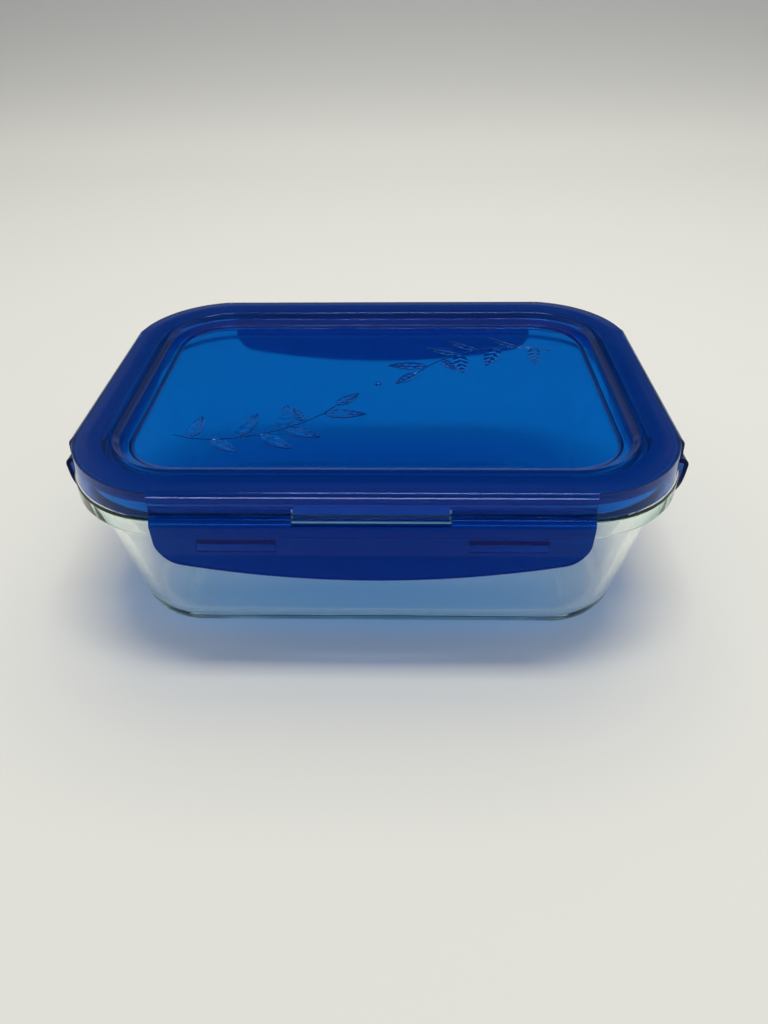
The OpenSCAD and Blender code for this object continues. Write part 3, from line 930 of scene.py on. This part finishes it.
class CONTAINER_OT_stage(bpy.types.Operator):
    """Set up the pale table with its backdrop, the soft light and the camera"""
    bl_idname = "container.stage"
    bl_label = "Stage"

    def execute(self, context):
        s = settings().stage
        scene = context.scene
        scene.view_settings.view_transform = "Standard"
        # light turns many times inside the glass before it leaves it
        scene.cycles.max_bounces = scene.cycles.transmission_bounces = 24
        scene.cycles.glossy_bounces = 16
        self.table()
        scene.world = self.room(s)
        self.lamp("soft_box", (0.06, -0.07, 1.15), (0.6, 0.18), s.lamp)
        wide = self.lamp("wide_box", (0.1, 0.5, 1.1), (1.0, 0.7), s.wide)
        wide.visible_glossy = False
        card = self.lamp("gloss_card", (-0.02, -1.1, 0.46), (0.9, 0.3), s.card)
        card.visible_diffuse = card.visible_camera = False
        scene.camera = self.camera(s)
        return {"FINISHED"}

    def table(self):
        """A table that runs up into the backdrop in one curve."""
        length, back, bend, rise = 2.4, 0.62, 0.35, 58
        table = add_piece("table_and_backdrop", bpy.ops.mesh.primitive_plane_add, size=length,
                          location=(0, back - length / 2, -0.1 * MM))
        select_verts(lambda co: co.y > back - 0.01)
        bpy.ops.mesh.spin(steps=20, angle=math.radians(rise), center=(0, back, bend),
                          axis=(-1, 0, 0))
        bpy.ops.object.mode_set(mode="OBJECT")
        table.data.materials.append(matt_laminate())
        bpy.ops.object.shade_smooth_by_angle(angle=math.radians(40))

    def room(self, s):
        """Even light for all but gloss, which meets a room that is light near the table and at
        the sides, dark above that, and light again at the ceiling."""
        world = bpy.data.worlds.new("room")
        world.use_nodes = True
        world.node_tree.nodes.clear()
        tree = world.node_tree
        pale = (*linear("#f4f4f2"), 1)
        # elevations in degrees between which the room darkens, and then lightens again
        dusk, dark, upper, ceiling = (math.sin(math.radians(a)) for a in (8, 25, 36, 50))
        light = add_node(tree, "ShaderNodeBackground", None, {"Color": pale, "Strength": s.sky})
        way = add_node(tree, "ShaderNodeSeparateXYZ", None, {
            0: add_node(tree, "ShaderNodeTexCoord").outputs["Generated"]})
        low = add_node(tree, "ShaderNodeMapRange", {"interpolation_type": "SMOOTHSTEP"}, {
            "Value": way.outputs["Z"], "From Min": dusk, "From Max": dark,
            "To Min": s.horizon, "To Max": s.gloss_sky})
        high = add_node(tree, "ShaderNodeMapRange", {"interpolation_type": "SMOOTHSTEP"}, {
            "Value": way.outputs["Z"], "From Min": upper, "From Max": ceiling,
            "To Min": 0, "To Max": s.ceiling})
        aside = add_node(tree, "ShaderNodeMath", {"operation": "ABSOLUTE"}, {
            0: way.outputs["X"]})
        sides = add_node(tree, "ShaderNodeMapRange", {"interpolation_type": "SMOOTHSTEP"}, {
            "Value": aside.outputs[0], "From Min": 0.25, "From Max": 0.75, "To Min": 0,
            "To Max": s.side_glow})
        either = add_node(tree, "ShaderNodeMath", {"operation": "MAXIMUM"}, {
            0: low.outputs[0], 1: sides.outputs[0]})
        both = add_node(tree, "ShaderNodeMath", {"operation": "MAXIMUM"}, {
            0: either.outputs[0], 1: high.outputs[0]})
        dim = add_node(tree, "ShaderNodeBackground", None, {
            "Color": pale, "Strength": both.outputs[0]})
        seen = add_node(tree, "ShaderNodeBackground", None, {"Color": pale, "Strength": 0.7})
        path = add_node(tree, "ShaderNodeLightPath")
        gloss = add_node(tree, "ShaderNodeMixShader", None, {
            0: path.outputs["Is Glossy Ray"], 1: light.outputs[0], 2: dim.outputs[0]})
        through = add_node(tree, "ShaderNodeMixShader", None, {
            0: path.outputs["Is Transmission Ray"], 1: gloss.outputs[0], 2: seen.outputs[0]})
        mix = add_node(tree, "ShaderNodeMixShader", None, {
            0: path.outputs["Is Camera Ray"], 1: through.outputs[0], 2: seen.outputs[0]})
        add_node(tree, "ShaderNodeOutputWorld", None, {"Surface": mix.outputs[0]})
        return world

    def camera(self, s):
        """The camera in front of the container, above it and a little to the right."""
        down, turn, roll = 0.647, -0.029, -0.014  # radians
        bpy.ops.object.camera_add(location=(9.18 * MM, -257.8 * MM, 203.95 * MM))
        camera = bpy.context.object
        camera.name = "camera"
        ahead = Vector((math.sin(turn) * math.cos(down), math.cos(turn) * math.cos(down),
                        -math.sin(down)))
        right = Vector((math.cos(turn), -math.sin(turn), 0))
        above = right.cross(ahead)
        side = right * math.cos(roll) + above * math.sin(roll)
        top = above * math.cos(roll) - right * math.sin(roll)
        camera.matrix_world = Matrix([(side[i], top[i], -ahead[i], camera.location[i])
                                      for i in range(3)] + [(0, 0, 0, 1)])
        camera.data.lens = s.lens
        camera.data.sensor_width = 36
        camera.data.clip_start, camera.data.clip_end = 0.01, 20
        return camera

    def lamp(self, name, place, spread, power):
        """An area lamp that faces the container and isn't seen through glass or plastic."""
        bpy.ops.object.light_add(type="AREA", location=place)
        lamp = bpy.context.object
        lamp.name = lamp.data.name = name
        lamp.data.shape = "RECTANGLE"
        lamp.data.size, lamp.data.size_y = spread
        lamp.data.energy = power
        lamp.visible_transmission = False
        away = Vector(place).normalized()
        across = (Vector((1, 0, 0)) - away * away.x).normalized()
        up = away.cross(across)
        lamp.matrix_world = Matrix([(across[i], up[i], away[i], place[i])
                                    for i in range(3)] + [(0, 0, 0, 1)])
        return lamp


class CONTAINER_PT_panel(bpy.types.Panel):
    """Sizes, finishes and pieces of the food container"""
    bl_idname = "CONTAINER_PT_panel"
    bl_label = "Food container"
    bl_space_type = "VIEW_3D"
    bl_region_type = "UI"
    bl_category = "Container"

    def draw(self, context):
        for group in ("dish", "lid", "seal", "flap", "finish", "stage"):
            values = getattr(settings(), group)
            box = self.layout.box()
            box.label(text=group.capitalize())
            for key in values.__annotations__:
                box.prop(values, key)
        for operator in OPERATORS:
            self.layout.operator(operator.bl_idname)


OPERATORS = (CONTAINER_OT_stage, CONTAINER_OT_dish, CONTAINER_OT_lid, CONTAINER_OT_seal,
             CONTAINER_OT_flaps, CONTAINER_OT_hinges)
CLASSES = (DishSizes, LidSizes, SealSizes, FlapSizes, Finishes, StageSettings, Container,
           *OPERATORS, CONTAINER_PT_panel)


def register():
    for each in CLASSES:
        bpy.utils.register_class(each)
    bpy.types.Scene.container = bpy.props.PointerProperty(type=Container)


def unregister():
    del bpy.types.Scene.container
    for each in reversed(CLASSES):
        bpy.utils.unregister_class(each)


def main():
    register()
    bpy.ops.container.stage()
    bpy.ops.container.dish()
    bpy.ops.container.lid()
    bpy.ops.container.seal()
    bpy.ops.container.flaps()
    bpy.ops.container.hinges()


if __name__ == "__main__":
    main()
